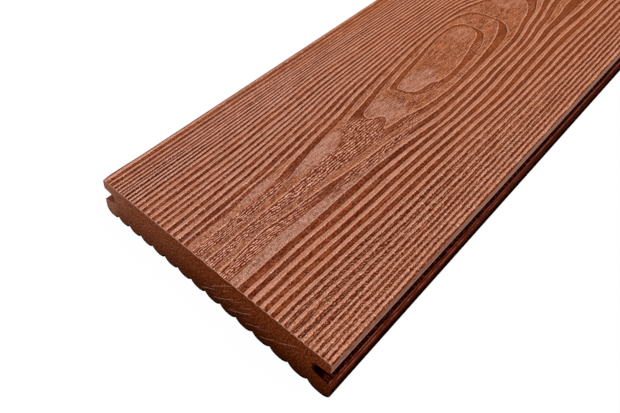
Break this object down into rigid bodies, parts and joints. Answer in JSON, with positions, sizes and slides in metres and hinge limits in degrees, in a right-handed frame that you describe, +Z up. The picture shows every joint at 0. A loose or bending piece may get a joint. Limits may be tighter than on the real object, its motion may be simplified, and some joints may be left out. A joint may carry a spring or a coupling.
{
  "type": "decking board",
  "caption": "Solid wood-plastic composite decking board with an embossed wood grain walking face, clip slots in both long edges and a ribbed underside",
  "frame": {"origin": "below the middle of the board, on the plane that the rib crests rest on", "axes": "+X across the board, +Y along it away from the sawn end that is looked at, +Z up through the walking face"},
  "size_m": [0.142, 2.2, 0.025],
  "materials": {
    "composite": "matte"
  },
  "bodies": {
    "root": {"decking_board": "composite"}
  },
  "joints": []
}
